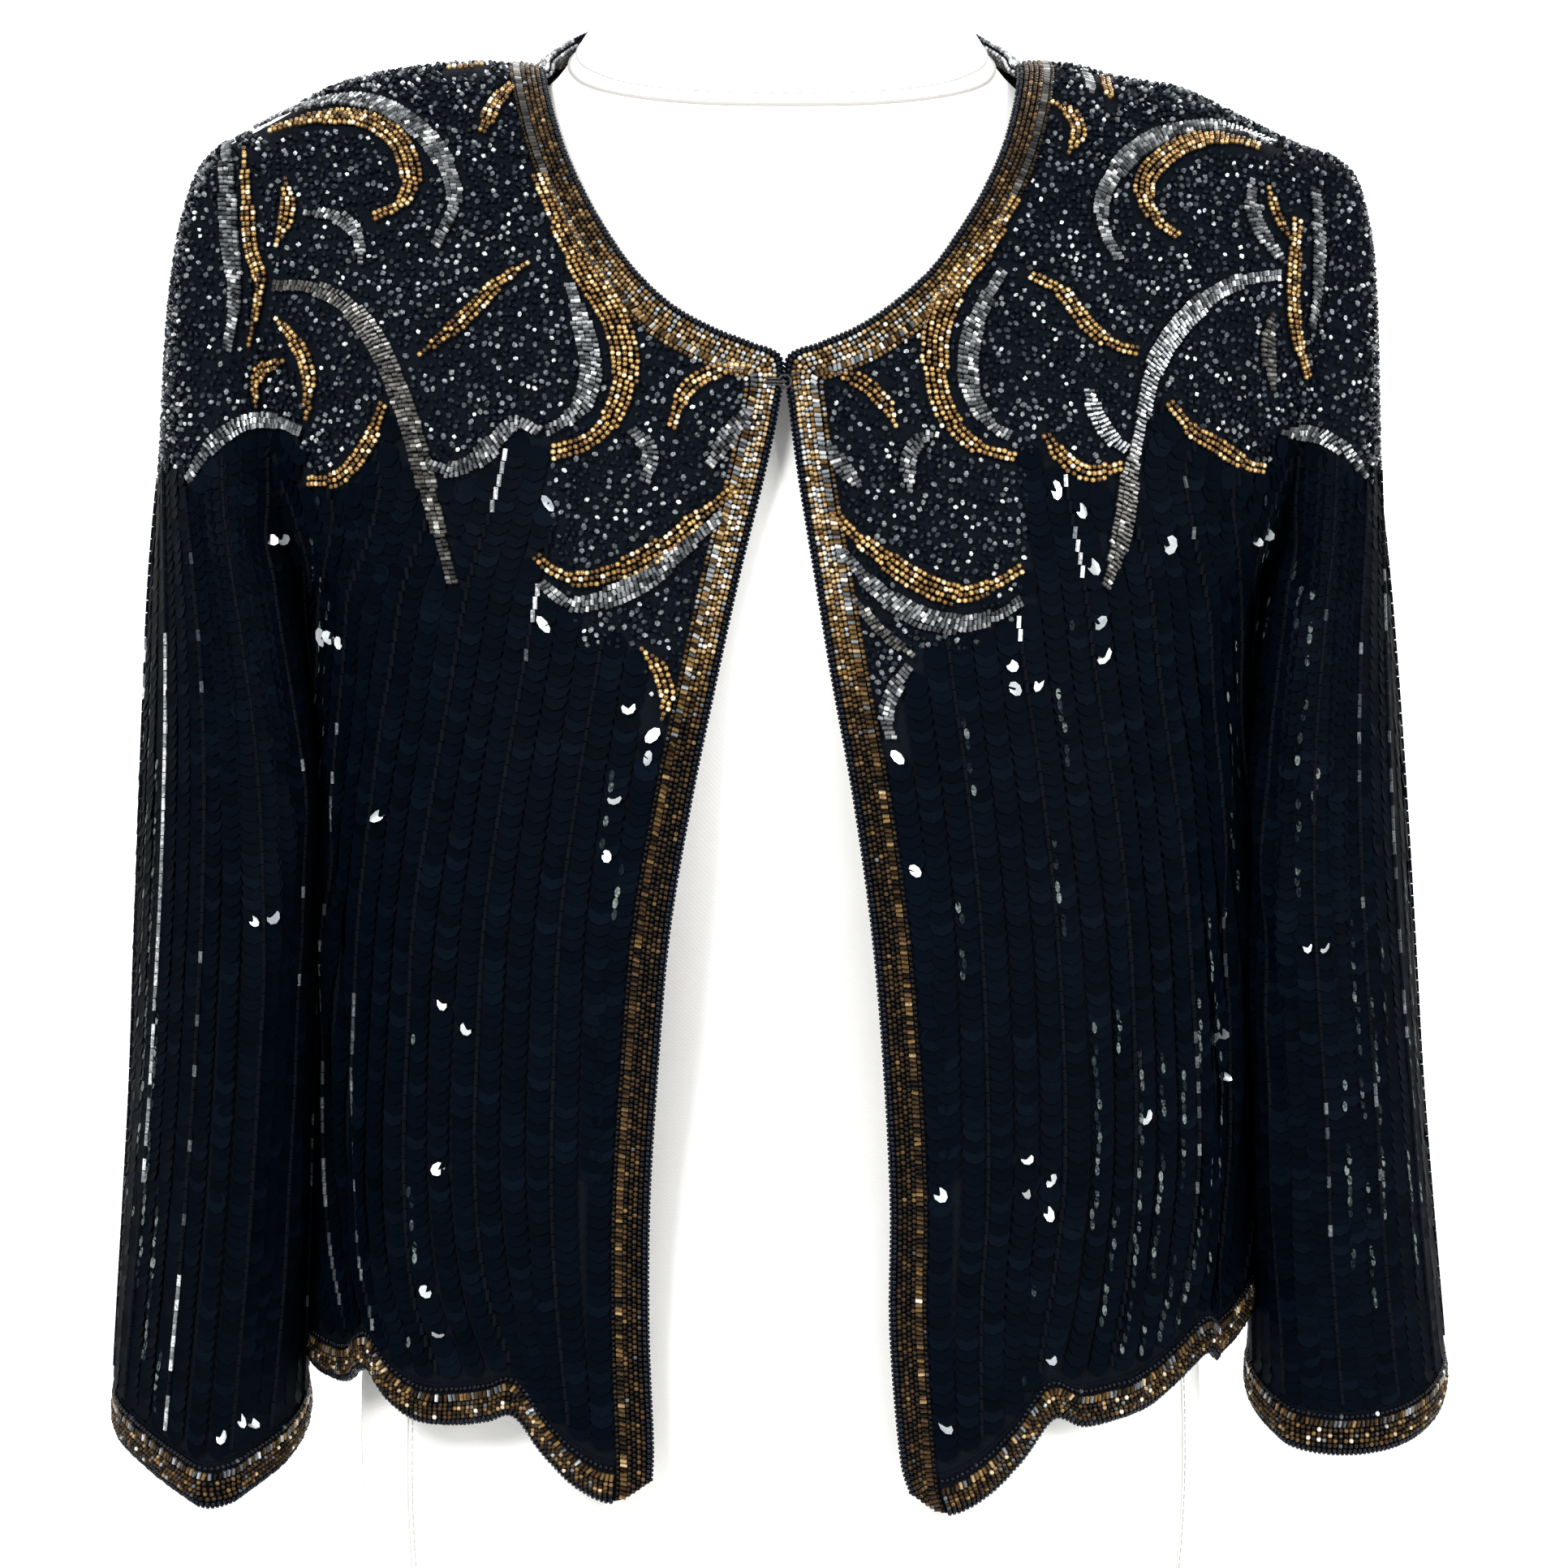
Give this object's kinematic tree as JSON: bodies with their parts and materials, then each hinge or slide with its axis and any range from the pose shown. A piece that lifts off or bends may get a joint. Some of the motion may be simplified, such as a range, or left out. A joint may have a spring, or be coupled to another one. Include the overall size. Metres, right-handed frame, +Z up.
{
  "type": "beaded evening jacket on a dress form",
  "caption": "Open-fronted beaded and sequinned evening jacket with long sleeves and padded shoulders, hooked at the neck, standing on a limbless dress form.",
  "frame": {"origin": "centre of the dress form's flat base", "axes": "+Z up, -Y to the front of the jacket, +X to the viewer's right when the front is seen"},
  "size_m": [0.5482, 0.2385, 0.75],
  "materials": {
    "sequins": "navy sequins and black beads sewn over cloth",
    "bands": "bronze, gold and grey bead edging with a black picot",
    "jersey": "white fine-knit cover",
    "wire": "black thread-covered wire"
  },
  "bodies": {
    "root": {"back": "sequins", "front_left": "sequins", "front_right": "sequins", "sleeve_left": "sequins", "sleeve_right": "sequins", "hem_band_back": "bands", "hem_band_left": "bands", "hem_band_right": "bands", "neck_band_back": "bands", "front_band_left": "bands", "front_band_right": "bands", "cuff_band_left": "bands", "cuff_band_right": "bands", "neck_eye": "wire", "neck_hook": "wire", "dress_form": "jersey"}
  },
  "joints": []
}
